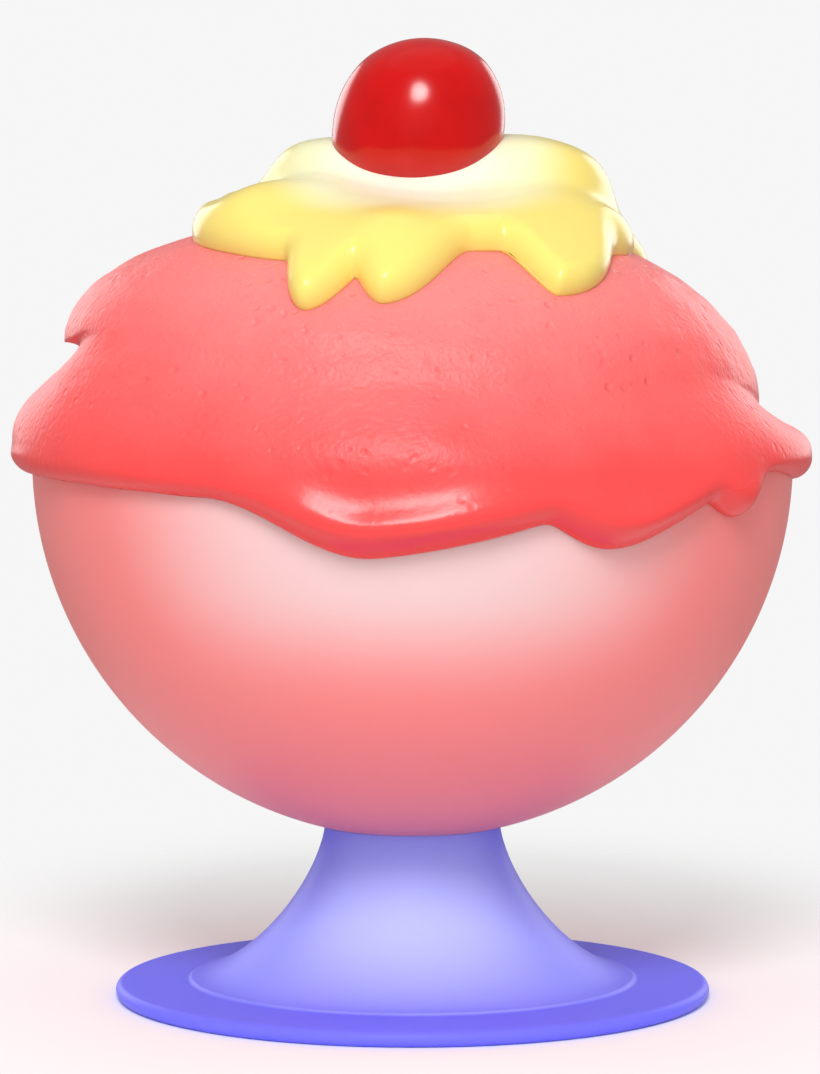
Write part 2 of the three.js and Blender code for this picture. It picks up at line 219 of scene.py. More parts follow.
# The melted skirt: the lean of its shoulder in degrees, its widest place, its bead and
# its hem, which is a base less the drips.
skirt_lean = around(
    (0, 38), (60, 42), (90, 55), (130, 45), (180, 45), (235, 55), (270, 55), (300, 45),
    (330, 28),
)
bead_height = around(
    (0, 2.4), (30, 2.3), (60, 1.5), (90, 0.9), (140, 1.3), (190, 1.9), (230, 1.3),
    (270, 0.9), (300, 1.4), (330, 2.1),
)
skirt_radius = around(
    (0, 56.7), (40, 56.7), (90, 56.6), (150, 56.8), (200, 56.9), (270, 56.8), (320, 56.7)
)
skirt_top = around((0, 78), (90, 78.2), (180, 79), (270, 80.2))
hem_base = around(
    (0, 75.7), (66, 76.1), (90, 74.1), (150, 74.8), (210, 75), (270, 75), (288, 75.4),
    (312, 74.8), (330, 73.9),
)
SKIRT_DRIPS = [
    (354.8, 8.9, 26, 56),
    (29.2, 9.1, 21.5, 31),
    (53.7, 5.8, 16, 9),
    (124, 5.6, 15, 16),
    (183, 7.8, 26, 21),
    (236, 2.8, 16, 12),
]

# The sauce: its edge, which is a base less the drips, and the bulges on it.
sauce_base = around(
    (0, 106.2), (15, 106.3), (60, 105.8), (90, 106.2), (180, 105.6), (240, 108.2),
    (270, 109.3), (315, 106.1), (335, 105),
)
SAUCE_DRIPS = [
    (341.8, 6.6, 10, 12.8),
    (355, 6.6, 10.5, 19.5),
    (27.8, 5.8, 6.6, 33),
    (126, 4.4, 22, 20),
    (182, 6, 22, 17),
    (228, 4, 20, 20),
]
SAUCE_BULGES = [  # x, y, radius, height; a hollow has a height below 0
    (-3, -34, 5.5, 1.9),
    (-22, -21, 5.5, 1.5),
    (-14, -16, 7, 1.2),
    (20, -14, 9, 1.2),
    (17, 1, 9, 1.2),
    (33, -2, 7, -2.5),
    (-23, -6, 5, -1.2),
    (14, 18, 8, 1),
    (-12, 20, 9, 0.8),
]
CHERRY_DENT = (1, -18, 11, 1.3)  # x, y, radius, depth
# The middle of the sauce's pale patch, which is partly painted light.
POOL_LIGHT_MIDDLE = (0, -12, 119)


def hem_height(azimuth):
    return hem_base(azimuth) - drip_depth(SKIRT_DRIPS, azimuth)


def sauce_height(azimuth):
    return sauce_base(azimuth) - drip_depth(SAUCE_DRIPS, azimuth)


# ---- Meshes ----------------------------------------------------------------------

def meridians(count):
    """A column of evenly spaced azimuths."""
    return (np.arange(count) * 360 / count)[:, None]


def place(radius, azimuth, height):
    """x, y and z of a place that is given by its radius, azimuth and height."""
    turn = np.radians(azimuth)
    return np.stack([radius * np.sin(turn), -radius * np.cos(turn), height], -1)


def nearest(points, line):
    """Distance from each point to the nearest point of a closely spaced line."""
    tree = kdtree.KDTree(len(line))
    for k, point in enumerate(line):
        tree.insert(point, k)
    tree.balance()
    flat = [tree.find(point)[2] for point in points.reshape(-1, 3)]
    return np.array(flat).reshape(points.shape[:-1])


def loft(name, grid):
    """A closed mesh from meridians in millimetres that share their first and last points."""
    count, rows = grid.shape[:2]
    inner = rows - 2
    points = np.concatenate([grid[0, :1], grid[0, -1:], grid[:, 1:-1].reshape(-1, 3)])
    near = 2 + np.arange(count) * inner
    far = np.roll(near, -1)
    steps = np.arange(inner - 1)
    a, b = near[:, None] + steps, far[:, None] + steps
    quads = np.stack([a, a + 1, b + 1, b], -1).reshape(-1, 4).tolist()
    first = np.stack([np.zeros(count, int), near, far], -1).tolist()
    last = np.stack([near + inner - 1, np.ones(count, int), far + inner - 1], -1).tolist()
    mesh = bpy.data.meshes.new(name)
    mesh.from_pydata((points * MM).tolist(), [], quads + first + last)
    mesh.shade_smooth()
    piece = bpy.data.objects.new(name, mesh)
    bpy.context.collection.objects.link(piece)
    return piece


def turn_profile(name, profile):
    """A turned solid from (radius, height) rows that start and end on the axis."""
    radius, height = np.array(profile).T
    azimuth = meridians(GLASS_MERIDIANS)
    radius, height, azimuth = np.broadcast_arrays(radius[None], height[None], azimuth)
    return loft(name, place(radius, azimuth, height))


def arc(centre_radius, centre_height, radius, start, end, steps):
    """(radius, height) rows of an arc, angles in degrees from outwards to up."""
    angles = np.radians(np.linspace(start, end, steps + 1))
    across = centre_radius + radius * np.cos(angles)
    return list(zip(np.maximum(across, 0), centre_height + radius * np.sin(angles)))


def relief(piece, height):
    """Moves each vertex along its normal by height(point), both in millimetres."""
    mesh = piece.data
    for vertex, normal in zip(mesh.vertices, mesh.vertex_normals):
        vertex.co += normal.vector * (height(vertex.co / MM) * MM)
    mesh.update()


# ---- Materials -------------------------------------------------------------------

MIX_A = 6  # the colour sockets of a Mix node
MIX_B = 7
MIX_COLOUR = 2


def colour(hex_code):
    """Linear colour from an sRGB hex code, by the curve of the sRGB standard."""
    shares = [int(hex_code[k:k + 2], 16) / 255 for k in (0, 2, 4)]
    return (*[s / 12.92 if s <= 0.04045 else ((s + 0.055) / 1.055) ** 2.4 for s in shares], 1)


def add(tree, kind, inputs=None, **settings):
    """Adds a node; an input takes either a value or another node's output."""
    made = tree.nodes.new(kind)
    for name, value in settings.items():
        setattr(made, name, value)
    for name, value in (inputs or {}).items():
        if isinstance(value, bpy.types.NodeSocket):
            tree.links.new(value, made.inputs[name])
        else:
            made.inputs[name].default_value = value
    return made


def per(size_mm):
    """A texture's scale, from the size of one feature in millimetres."""
    return 1 / (size_mm * MM)


def material(name):
    """An empty material, its node tree and the piece's own coordinates."""
    made = bpy.data.materials.new(name)
    made.use_nodes = True
    tree = made.node_tree
    tree.nodes.clear()
    return made, tree, add(tree, "ShaderNodeTexCoord").outputs["Object"]


def opal_glass(name, cased, pale_glow, glow_heights, drift, spread):
    """Opal glass: a pale opal body under a fine layer of coloured glass.

    It is blown in a mould and then etched satin, so it hides what is behind it and has hardly
    any gloss. Its soft glow is a painted highlight: where the glass faces the viewer, in a band
    of heights, its colour is mixed towards a pale one in place of a broad, soft highlight. That
    the colour deepens towards the edges, where the glass is seen edge-on, is also how a
    coloured layer over an opal body looks.

    cased is the colour of the coloured layer and pale_glow the colour of the painted highlight.
    Each pair in glow_heights is a height where the colour stays deep and one where the painted
    highlight is full, and drift is how far these wander round the glass, all in millimetres.
    spread is how near to edge-on the painted highlight still shows.
    """
    made, tree, coordinates = material(name)
    axes = add(tree, "ShaderNodeSeparateXYZ", {"Vector": coordinates})
    # The heights of the painted highlight wander in patches about 22 mm across.
    patches = add(
        tree, "ShaderNodeTexNoise",
        {"Vector": coordinates, "Scale": per(22), "Detail": 1.0},
    )
    shift = add(
        tree, "ShaderNodeMath",
        {0: patches.outputs["Fac"], 1: drift * MM, 2: -drift / 2 * MM},
        operation="MULTIPLY_ADD",
    )
    level = add(
        tree, "ShaderNodeMath",
        {0: axes.outputs["Z"], 1: shift.outputs[0]},
        operation="ADD",
    )
    # Painted highlight: the colour turns pale where the glass faces the viewer.
    edge_on = add(tree, "ShaderNodeLayerWeight", {"Blend": 0.5})
    facing_glow = add(
        tree, "ShaderNodeMapRange",
        {"Value": edge_on.outputs["Facing"], "From Max": spread, "To Min": 1.0, "To Max": 0.0},
        interpolation_type="SMOOTHSTEP",
    )
    share = facing_glow.outputs[0]
    # Painted highlight: each pair keeps it within a band of heights.
    for deep_at, pale_at in glow_heights:
        in_glow = add(
            tree, "ShaderNodeMapRange",
            {"Value": level.outputs[0], "From Min": deep_at * MM, "From Max": pale_at * MM},
            interpolation_type="SMOOTHSTEP",
        )
        both = add(
            tree, "ShaderNodeMath",
            {0: share, 1: in_glow.outputs[0]},
            operation="MULTIPLY",
        )
        share = both.outputs[0]
    body = add(
        tree, "ShaderNodeMix",
        {"Factor": share, MIX_A: colour(cased), MIX_B: colour(pale_glow)},
        data_type="RGBA",
    )
    surface = add(tree, "ShaderNodeBsdfPrincipled", {
        "Base Color": body.outputs[MIX_COLOUR],
        "Roughness": 0.4,
        "IOR": 1.5,
        "Specular IOR Level": 0.1,
        "Subsurface Weight": 0.35,
        "Subsurface Radius": (1.0, 0.7, 0.7),
        "Subsurface Scale": 3 * MM,
    })
    add(tree, "ShaderNodeOutputMaterial", {"Surface": surface.outputs[0]})
    return made


def strawberry_ice():
    """Strawberry ice cream: churned, pressed into a dome by a scoop and left to melt.

    The firm top is dull and pitted by the air that was churned in. It is paler, partly because
    it is frosted and partly by painted light on the top. Lower down, where it has melted, it is
    deeper in colour, smooth and wet.
    """
    made, tree, coordinates = material("strawberry_ice_cream")
    axes = add(tree, "ShaderNodeSeparateXYZ", {"Vector": coordinates})
    # Painted light: the pale top is palest in the middle and deeper towards both sides, where
    # less light falls.
    aside = add(tree, "ShaderNodeMath", {0: axes.outputs["X"]}, operation="ABSOLUTE")
    lit_middle = add(
        tree, "ShaderNodeMapRange",
        {
            "Value": aside.outputs[0],
            "From Min": 18 * MM, "From Max": 46 * MM, "To Min": 1.0, "To Max": 0.52,
        },
        interpolation_type="SMOOTHSTEP",
    )
    # It melts in patches about 9 mm across, each up to 8 mm lower than the next.
    mottle = add(
        tree, "ShaderNodeTexNoise",
        {"Vector": coordinates, "Scale": per(9), "Detail": 3.0},
    )
    drift = add(
        tree, "ShaderNodeMath",
        {0: mottle.outputs["Fac"], 1: 8 * MM},
        operation="MULTIPLY",
    )
    level = add(
        tree, "ShaderNodeMath",
        {0: axes.outputs["Z"], 1: drift.outputs[0]},
        operation="ADD",
    )
    firm = add(
        tree, "ShaderNodeMapRange",
        {"Value": level.outputs[0], "From Min": 81 * MM, "From Max": 105 * MM},
    )
    # The pale colour on the top is partly frosted ice and partly painted light.
    frost_and_light = add(
        tree, "ShaderNodeMath",
        {0: firm.outputs[0], 1: lit_middle.outputs[0]},
        operation="MULTIPLY",
    )
    body = add(
        tree, "ShaderNodeMix",
        {"Factor": frost_and_light.outputs[0], MIX_A: colour("FA4C4C"), MIX_B: colour("F88482")},
        data_type="RGBA",
    )
    dry = add(
        tree, "ShaderNodeMapRange",
        {
            "Value": level.outputs[0],
            "From Min": 74 * MM, "From Max": 86 * MM, "To Min": 0.22, "To Max": 0.38,
        },
        interpolation_type="SMOOTHSTEP",
    )
    # Ice grains are about 0.05 mm across and air bubbles up to 0.5 mm. Both are too fine
    # to show, so they are drawn coarser, at 0.9 mm and 2.4 mm.
    grain = add(
        tree, "ShaderNodeTexNoise",
        {"Vector": coordinates, "Scale": per(0.9), "Detail": 4.0},
    )
    bubbles = add(
        tree, "ShaderNodeTexVoronoi",
        {"Vector": coordinates, "Scale": per(2.4)},
    )
    patchy = add(
        tree, "ShaderNodeMath",
        {0: mottle.outputs["Fac"], 1: 0.9, 2: bubbles.outputs["Distance"]},
        operation="MULTIPLY_ADD",
    )
    pits = add(
        tree, "ShaderNodeMapRange",
        {"Value": patchy.outputs[0], "From Min": 0.4, "From Max": 0.7},
        interpolation_type="SMOOTHSTEP",
    )
    rough = add(
        tree, "ShaderNodeMapRange",
        {
            "Value": level.outputs[0],
            "From Min": 80 * MM, "From Max": 90 * MM, "To Min": 0.12, "To Max": 1.0,
        },
    )
    grain_bump = add(tree, "ShaderNodeBump", {
        "Height": grain.outputs["Fac"],
        "Strength": rough.outputs[0],
        "Distance": 0.25 * MM,
    })
    pit_bump = add(tree, "ShaderNodeBump", {
        "Height": pits.outputs[0],
        "Strength": rough.outputs[0],
        "Distance": 0.22 * MM,
        "Normal": grain_bump.outputs[0],
    })
    surface = add(tree, "ShaderNodeBsdfPrincipled", {
        "Base Color": body.outputs[MIX_COLOUR],
        "Roughness": dry.outputs[0],
        "IOR": 1.36,
        "Subsurface Weight": 0.3,
        "Subsurface Radius": (1.0, 0.45, 0.4),
        "Subsurface Scale": 2.5 * MM,
        "Normal": pit_bump.outputs[0],
    })
    add(tree, "ShaderNodeOutputMaterial", {"Surface": surface.outputs[0]})
    return made


def vanilla_sauce():
    """Vanilla sauce: egg and cream, cooked thick and poured cold.

    It levels itself to a smooth, glossy skin, yellower where it is shallow. Its pale middle,
    round a point over the front of the dollop, is partly milkiness where the sauce lies deep and
    partly painted light on its top, and its near-white heart is painted light that lifts the
    shade under the cherry.
    """
    made, tree, coordinates = material("vanilla_sauce")
    # The folds of the pour are about 12 mm across and shift the shades by up to 3 mm.
    swirl = add(
        tree, "ShaderNodeTexNoise",
        {"Vector": coordinates, "Scale": per(12), "Detail": 2.0},
    )
    # Painted light: the sauce is paler the nearer it lies to a point over the front of the
    # dollop.
    away = add(
        tree, "ShaderNodeVectorMath",
        {0: coordinates, 1: [value * MM for value in POOL_LIGHT_MIDDLE]},
        operation="DISTANCE",
    )
    level = add(
        tree, "ShaderNodeMath",
        {0: swirl.outputs["Fac"], 1: 3 * MM, 2: away.outputs["Value"]},
        operation="MULTIPLY_ADD",
    )
    pool_and_light = add(
        tree, "ShaderNodeMapRange",
        {"Value": level.outputs[0], "From Min": 25.6 * MM, "From Max": 16.5 * MM},
        interpolation_type="SMOOTHSTEP",
    )
    # Painted light: a near-white heart that lifts the shade and the red light from the cherry
    # under it.
    painted_light_heart = add(
        tree, "ShaderNodeMapRange",
        {"Value": level.outputs[0], "From Min": 17.2 * MM, "From Max": 8.5 * MM},
        interpolation_type="SMOOTHSTEP",
    )
    thin_or_pool = add(
        tree, "ShaderNodeMix",
        {"Factor": pool_and_light.outputs[0], MIX_A: colour("F3DC76"), MIX_B: colour("F1EFC2")},
        data_type="RGBA",
    )
    body = add(
        tree, "ShaderNodeMix",
        {
            "Factor": painted_light_heart.outputs[0],
            MIX_A: thin_or_pool.outputs[MIX_COLOUR],
            MIX_B: colour("FFFBE4"),
        },
        data_type="RGBA",
    )
    surface = add(tree, "ShaderNodeBsdfPrincipled", {
        "Base Color": body.outputs[MIX_COLOUR],
        "Roughness": 0.25,
        "IOR": 1.42,
        "Subsurface Weight": 0.35,
        "Subsurface Radius": (1.0, 0.85, 0.4),
        "Subsurface Scale": 2 * MM,
    })
    add(tree, "ShaderNodeOutputMaterial", {"Surface": surface.outputs[0]})
    return made


def cherry_skin():
    """A cocktail cherry: the fruit is bleached, dyed red and kept in syrup.

    Its colour is deep and nearly even. All of its gloss is in the syrup, which lies on
    the taut skin as a clear coat and gives one soft, bright highlight.
    """
    made, tree, coordinates = material("cherry_skin")
    # The dye takes in streaks about 5 mm across.
    streak = add(
        tree, "ShaderNodeTexNoise",
        {"Vector": coordinates, "Scale": per(5), "Detail": 3.0},
    )
    body = add(
        tree, "ShaderNodeMix",
        {"Factor": streak.outputs["Fac"], MIX_A: colour("B40000"), MIX_B: colour("D00000")},
        data_type="RGBA",
    )
    surface = add(tree, "ShaderNodeBsdfPrincipled", {
        "Base Color": body.outputs[MIX_COLOUR],
        "Roughness": 0.4,
        "IOR": 1.4,
        "Specular IOR Level": 0.0,
        "Subsurface Weight": 0.2,
        "Subsurface Radius": (1.0, 0.1, 0.05),
        "Subsurface Scale": 2 * MM,
        "Coat Weight": 1.0,
        "Coat Roughness": 0.2,
        "Coat IOR": 1.45,
    })
    add(tree, "ShaderNodeOutputMaterial", {"Surface": surface.outputs[0]})
    return made


# ---- Glass -----------------------------------------------------------------------

def glass_bowl():
    rim_middle = BOWL_RADIUS - RIM_ROUND
    profile = [
        *arc(0, BOWL_CENTRE, BOWL_RADIUS, -90, 0, steps=90),
        *arc(rim_middle, BOWL_CENTRE, RIM_ROUND, 0, 180, steps=16)[1:],
        *arc(0, BOWL_CENTRE, BOWL_RADIUS - WALL, 0, -90, steps=60)[1:],
    ]
    return turn_profile("bowl_of_pink_glass", profile)


def glass_foot():
    edge_round = FOOT_EDGE / 2
    seat = BOWL_RADIUS - SINK
    seat_height = BOWL_CENTRE - math.sqrt(seat * seat - STEM_RADIUS * STEM_RADIUS)
    seat_angle = math.degrees(math.acos(STEM_RADIUS / seat))
    step_inner = FLARE_RADIUS - STEP_WIDTH / 2
    step_outer = FLARE_RADIUS + STEP_WIDTH / 2
    turn = np.linspace(math.pi / 2, 0, FLARE_ROWS)
    inward = np.cos(turn) ** (2 / FLARE_POWER)
    down = np.sin(turn) ** (2 / FLARE_POWER)
    radius = lerp(FLARE_RADIUS, STEM_RADIUS, inward)
    height = np.minimum(lerp(FLARE_TOP, FLARE_BASE, down), seat_height)
    # The flare ends in a low, soft step on the disc.
    height = height - FLARE_STEP * smooth(radius, step_inner, step_outer) / 2
    outer = np.linspace(step_outer, FLARE_RADIUS, num=6)
    step = list(zip(outer, FLARE_BASE - FLARE_STEP * smooth(outer, step_inner, step_outer)))
    profile = [
        (0, 0),
        *arc(FOOT_RADIUS - edge_round, edge_round, edge_round, -90, 90, steps=16),
        *step,
        *list(zip(radius, height))[1:],
        *arc(0, BOWL_CENTRE, seat, -seat_angle, -90, steps=8)[1:],
    ]
    return turn_profile("foot_of_blue_glass", profile)


# ---- Ice cream -------------------------------------------------------------------

def dome_point(azimuth, along):
    """Radius and height on the dome: along is 0 at the top and 1 at the lip."""
    turn = along * np.pi / 2
    across = np.sin(turn) ** (2 / dome_power(azimuth))
    up = np.maximum(np.cos(turn), 0) ** (2 / dome_power(azimuth))
    return lip_radius(azimuth) * across, lerp(lip_height(azimuth), DOME_TOP, up)


def dome_slope(azimuth, along):
    """The dome's direction down its side, as (radius, height) of unit length."""
    turn = along * np.pi / 2
    power = 2 / dome_power(azimuth)
    cosine = np.maximum(np.cos(turn), TINY)
    outward = lip_radius(azimuth) * np.sin(turn) ** (power - 1) * cosine
    down = (DOME_TOP - lip_height(azimuth)) * cosine ** (power - 1) * np.sin(turn)
    length = np.hypot(outward, down)
    return outward / length, -down / length


def fold(azimuth):
    """1 where the dome ends in a fold, 0 where it flows straight into the skirt."""
    return np.clip(fold_share(azimuth), 0, 1)


def dome_end(azimuth):
    return lerp(FLOW_FROM, 1, fold(azimuth))


def upper_point(azimuth, along):
    """On the dome as far as it goes before the fold or the flow begins."""
    return dome_point(azimuth, along * dome_end(azimuth))


def crease_point(azimuth, along):
    """Under the fold, from the dome's end to the bottom of the crease."""
    turn = along * np.pi / 2
    radius, height = dome_point(azimuth, dome_end(azimuth))
    outward, down = dome_slope(azimuth, dome_end(azimuth))
    share = fold(azimuth)
    across = lerp(CREASE_DROP * along * outward, -crease_depth(azimuth) * np.sin(turn), share)
    drop = lerp(CREASE_DROP * along * down, -CREASE_DROP * (1 - np.cos(turn)), share)
    return radius + across, height + drop


def shoulder_point(azimuth, along):
    """From the crease out to the skirt's widest place."""
    from_radius, from_height = crease_point(azimuth, 1)
    to_radius, to_height = skirt_radius(azimuth), skirt_top(azimuth)
    reach = np.hypot(to_radius - from_radius, to_height - from_height)
    lean = np.radians(skirt_lean(azimuth))
    outward, down = dome_slope(azimuth, dome_end(azimuth))
    outward = lerp(outward, np.sin(lean), fold(azimuth)) * reach
    down = lerp(down, -np.cos(lean), fold(azimuth)) * reach
    return (
        hermite(along, from_radius, outward, to_radius, 0),
        hermite(along, from_height, down, to_height, -reach),
    )


def bowl_skin(height, offset):
    """The radius of the bowl's outside at a height, plus an offset."""
    below = np.minimum(height - BOWL_CENTRE, 0)
    return np.sqrt((BOWL_RADIUS + offset) ** 2 - below * below)


def unrolled(azimuth, height):
    """A place on the glass as if its wall were rolled out flat."""
    turn = np.radians(azimuth)
    return np.stack([turn * BOWL_RADIUS, height, np.zeros_like(turn)], -1)


def skirt_point(azimuth, along):
    """Radius and height on the skirt: along is 0 at its widest and 1 at the hem."""
    top, bottom = skirt_top(azimuth), hem_height(azimuth)
    height = lerp(top, bottom, along)
    hem_azimuth = np.arange(-EDGE_OVERLAP, 360 + EDGE_OVERLAP, EDGE_STEP)
    up = nearest(unrolled(azimuth, height), unrolled(hem_azimuth, hem_height(hem_azimuth)))
    up = np.where(along == 1, 0, up)
    body = skirt_radius(azimuth) - bowl_skin(top, -SINK)
    long = np.clip((top - bottom) / FULL_SKIRT, 0, 1)
    bead = bead_height(azimuth) * long * smooth(top - height, 0, BEAD_FADE)
    bead = bead * np.exp(-(((up - BEAD_UP) / BEAD_WIDTH) ** 2))
    round_off = lerp(1, quarter_round(up / SKIRT_ROUND), smooth(top - height, 0, ROUND_FADE))
    return bowl_skin(height, -SINK) + (body + bead) * round_off, height


def contact_point(azimuth, along):
    """The side that lies on the glass: from the hem up, over the rim and down inside."""
    up, over, down = [np.clip(along * 3 - k, 0, 1) for k in range(3)]
    height = lerp(hem_height(azimuth), BOWL_CENTRE, up)
    radius = bowl_skin(height, -SINK)
    rim_turn = np.pi * over
    rim_radius = BOWL_RADIUS - RIM_ROUND + (RIM_ROUND - SINK) * np.cos(rim_turn)
    rim_height = BOWL_CENTRE + (RIM_ROUND - SINK) * np.sin(rim_turn)
    radius = np.where(over > 0, rim_radius, radius)
    height = np.where(over > 0, rim_height, height)
    inside = BOWL_RADIUS - WALL + SINK
    inside_turn = np.pi / 2 * down
    radius = np.where(down > 0, inside * np.cos(inside_turn), radius)
    height = np.where(down > 0, BOWL_CENTRE - inside * np.sin(inside_turn), height)
    return np.maximum(radius, 0), height


def melt(skin, azimuth):
    """Rounds off the turns of the meridians where the ice cream has no fold."""
    soft = (1 - fold(azimuth))[..., None] / 2
    across = np.hypot(skin[..., :1], skin[..., 1:2])
    soft = soft * smooth(skin[..., 2:], *MELT_HEIGHTS) * smooth(across, *MELT_RADII)
    skin = skin.copy()
    moved = slice(1, MELT_ROWS)
    for _ in range(MELT_PASSES):
        middle = (skin[:, :-2] + skin[:, 2:]) / 2
        skin[:, 1:-1][:, moved] = lerp(skin[:, 1:-1], middle, soft[:, 1:-1])[:, moved]
    return skin


def scooped(point):
    """Lumps and scoop marks, which melt away towards the skirt and under the sauce."""
    firm = float(smooth(point.z, *FIRM_FROM))
    shown = float(smooth(point.xy.length, *RIM_RADII)) if point.z < RIM_BAND else 1.0
    azimuth = math.degrees(math.atan2(point.x, -point.y))
    shown *= float(smooth(sauce_height(azimuth) - point.z, 0, RELIEF_FADE))
    streak = Vector((point.x / DRAG_WIDTH, point.y / DRAG_WIDTH, point.z / DRAG_STEP))
    lumps = noise.noise(point / LUMP_SIZE) * LUMP_HEIGHT
    drag = noise.noise(streak) * DRAG_HEIGHT
    crumb = noise.noise(point / CRUMB_SIZE) * CRUMB_HEIGHT
    return shown * (lumps + firm * (drag + crumb))


def ice_cream():
    azimuth = meridians(SKIN_MERIDIANS)
    stretches = [
        (upper_point, np.linspace(0, 1, DOME_ROWS)),
        (crease_point, np.linspace(0, 1, CREASE_ROWS)[1:]),
        (shoulder_point, np.linspace(0, 1, SHOULDER_ROWS)[1:]),
        (skirt_point, crowded(SKIRT_ROWS, SKIRT_CROWDING)[1:]),
        (contact_point, np.linspace(0, 1, CONTACT_ROWS)[1:]),
    ]
    rows = []
    for point, along in stretches:
        wide, steps = np.broadcast_arrays(azimuth, along[None])
        radius, height = point(wide, steps)
        rows.append(place(radius, wide, height))
    piece = loft("strawberry_ice_cream", melt(np.concatenate(rows, 1), azimuth))
    relief(piece, scooped)
    return piece


# ---- Sauce -----------------------------------------------------------------------

def sauce_edge(azimuth):
    """Where on the dome the sauce ends, as dome_point's along."""
    up = (sauce_height(azimuth) - lip_height(azimuth)) / (DOME_TOP - lip_height(azimuth))
    return 2 / np.pi * np.arccos(up ** (dome_power(azimuth) / 2))


def raised(azimuth, along, thickness):
    """A point raised from the dome along the dome's own normal."""
    radius, height = dome_point(azimuth, along)
    rise = DOME_TOP - lip_height(azimuth)
    power = dome_power(azimuth) - 1
    across = (radius / lip_radius(azimuth)) ** power / lip_radius(azimuth)
    up = ((height - lip_height(azimuth)) / rise) ** power / rise
    length = np.hypot(across, up)
    return place(radius + thickness * across / length, azimuth, height + thickness * up / length)


def hump(x, y, middle_x, middle_y, radius, height):
    """The height at (x, y) of a round swelling."""
    return height * np.exp(-((x - middle_x) ** 2 + (y - middle_y) ** 2) / radius ** 2)


def sauce_body(x, y):
    """The sauce's depth far from its edge, before the cherry dents it."""
    away = y - DOLLOP_CENTRE[1]
    aside = (x - DOLLOP_CENTRE[0]) / DOLLOP_SIDE
    reach = np.hypot(aside, away / np.where(away < 0, DOLLOP_FRONT, DOLLOP_BACK))
    reach = np.maximum(reach, TINY)
    power = lerp(DOLLOP_FRONT_POWER, DOLLOP_SIDE_POWER, (aside / reach) ** 2)
    depth = lerp(APRON_INNER, APRON_OUTER, smooth(np.hypot(x, y), *APRON_THINS))
    # The dollop falls to half its height at its own edge, where reach is 1.
    depth = depth + DOLLOP_HEIGHT * np.exp(-math.log(2) * reach ** power)
    for bulge in SAUCE_BULGES:
        depth = depth + hump(x, y, *bulge)
    return depth


def sauce():
    azimuth = meridians(SKIN_MERIDIANS)
    edge = sauce_edge(azimuth)
    rim_azimuth = np.arange(0, 360, EDGE_STEP)
    rim = raised(rim_azimuth, sauce_edge(rim_azimuth), CLEAR)
    wide, steps = np.broadcast_arrays(azimuth, crowded(SAUCE_ROWS, SAUCE_CROWDING)[None])
    base = raised(wide, steps * edge, CLEAR)
    x, y = base[..., 0], base[..., 1]
    body = sauce_body(x, y) - hump(x, y, *CHERRY_DENT)
    to_edge = np.where(steps == 1, 0, nearest(base, rim))
    thickness = (body + CLEAR + SINK) * quarter_round(to_edge / (body * SAUCE_ROUND))
    top = raised(wide, steps * edge, thickness - SINK)
    wide, steps = np.broadcast_arrays(azimuth, np.linspace(1, 0, UNDERSIDE_ROWS)[None, 1:])
    under = raised(wide, steps * edge, -SINK)
    piece = loft("poured_vanilla_sauce", np.concatenate([top, under], 1))
    relief(piece, lambda point: noise.noise(point / WAVE_SIZE) * WAVE_HEIGHT)
    return piece


# ---- Cherry ----------------------------------------------------------------------

def cherry():
    turn = np.linspace(0, np.pi, CHERRY_ROWS)[None]
    azimuth, turn = np.broadcast_arrays(meridians(CHERRY_MERIDIANS), turn)
    half = np.where(turn < np.pi / 2, CHERRY_ABOVE, CHERRY_BELOW)
    across = np.maximum(np.sin(turn), 0) ** (2 / CHERRY_POWER)
    up = np.sign(np.cos(turn)) * np.abs(np.cos(turn)) ** (2 / CHERRY_POWER)
    grid = place(CHERRY_RADIUS * across, azimuth, half * up)
    from_dimple = np.hypot(grid[..., 0], grid[..., 1] - DIMPLE_BACK)
    above = grid[..., 2] > 0
    dimple = np.where(above, DIMPLE_DEPTH * np.exp(-((from_dimple / DIMPLE_RADIUS) ** 2)), 0)
    grid[..., 0] += CHERRY_LEAN * grid[..., 2] / CHERRY_ABOVE
    grid[..., 2] -= dimple
    piece = loft("cherry_in_syrup", grid + np.array(CHERRY_CENTRE))
    relief(piece, lambda point: noise.noise(point / SKIN_SIZE) * SKIN_HEIGHT)
    return piece


# ---- The sundae ------------------------------------------------------------------

def dress(piece, node, finish):
    """A made piece stands for its node and takes its finish."""
    piece.data.materials.append(finish)
    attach(piece, BODY)
    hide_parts(node)


# Painted highlight on the foot: pale on the middle of the flare where it faces the viewer. The
# disc and the stem stay deep, and the stem's deep top under the bowl is also a painted shade
# from the bowl.
blue_glass = opal_glass(
    "blue_opal_glass", "7070FF", "B6C0FF",
    glow_heights=[(2.3, 2.9), (-10, 12), (40, 10)],
    drift=0.3,
    spread=1.05,
)
# Painted highlight on the bowl: pale below the ice cream where the bowl faces the viewer.
pink_glass = opal_glass(
    "pink_opal_glass", "FA8A88", "EACCCC",
    glow_heights=[(43.5, 62.5)],
    drift=2,
    spread=0.475,
)
dress(glass_foot(), "glass_foot", blue_glass)
dress(glass_bowl(), "glass_bowl", pink_glass)
dress(ice_cream(), "ice_cream", strawberry_ice())
dress(sauce(), "vanilla_sauce", vanilla_sauce())
dress(cherry(), "cherry", cherry_skin())

# ---- Floor, lights and camera ----------------------------------------------------

